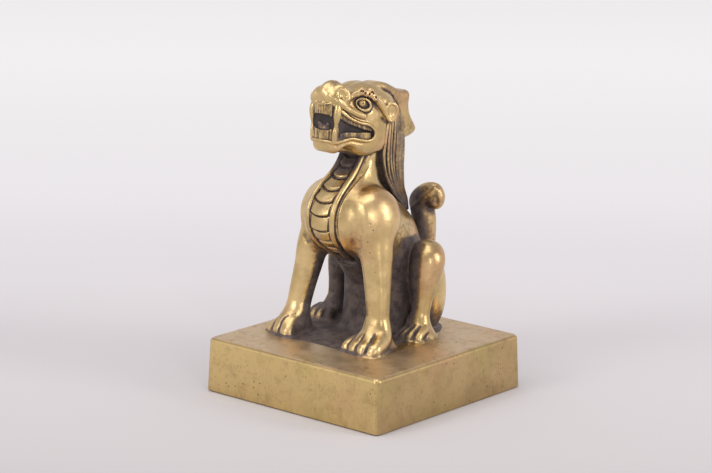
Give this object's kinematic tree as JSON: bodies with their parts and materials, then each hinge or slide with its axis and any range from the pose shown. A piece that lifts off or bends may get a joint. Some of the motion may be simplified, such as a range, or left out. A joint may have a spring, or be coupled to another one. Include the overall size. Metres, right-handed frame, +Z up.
{
  "type": "seal stamp",
  "caption": "Square cast brass seal stamp with a seated, open-mouthed mythical beast as its grip and a fret pattern on the printing face.",
  "frame": {"origin": "middle of the printing face, on the surface that the seal stands on", "axes": "+Z up from the printing face through the beast, -Y the way the beast faces, +X to its left"},
  "size_m": [0.07, 0.07, 0.0995],
  "materials": {
    "block_brass": "satin cast brass with small pits",
    "figure_brass": "rubbed cast brass, dark in the recesses",
    "polished_brass": "rubbed bright on the raised edges",
    "shaded_brass": "cast brass with a brown patina",
    "mouth_patina": "dark glossy patina"
  },
  "bodies": {
    "root": {"seal_block": "block_brass", "tongue": "mouth_patina", "upper_teeth": "polished_brass", "lower_teeth": "polished_brass", "left_fang": "polished_brass", "right_fang": "polished_brass", "nose": "polished_brass", "left_eye": "polished_brass", "right_eye": "polished_brass", "left_ear": "figure_brass", "right_ear": "figure_brass", "left_brow": "figure_brass", "right_brow": "figure_brass", "left_lip": "polished_brass", "right_lip": "polished_brass", "left_chest_cord": "polished_brass", "right_chest_cord": "polished_brass", "chest_plates": "figure_brass", "crest": "figure_brass", "lower_jaw": "figure_brass", "head": "figure_brass", "mane": "figure_brass", "neck": "shaded_brass", "torso": "shaded_brass", "tail": "figure_brass", "left_foreleg": "figure_brass", "right_foreleg": "figure_brass", "left_hind_leg": "figure_brass", "right_hind_leg": "figure_brass"}
  },
  "joints": []
}
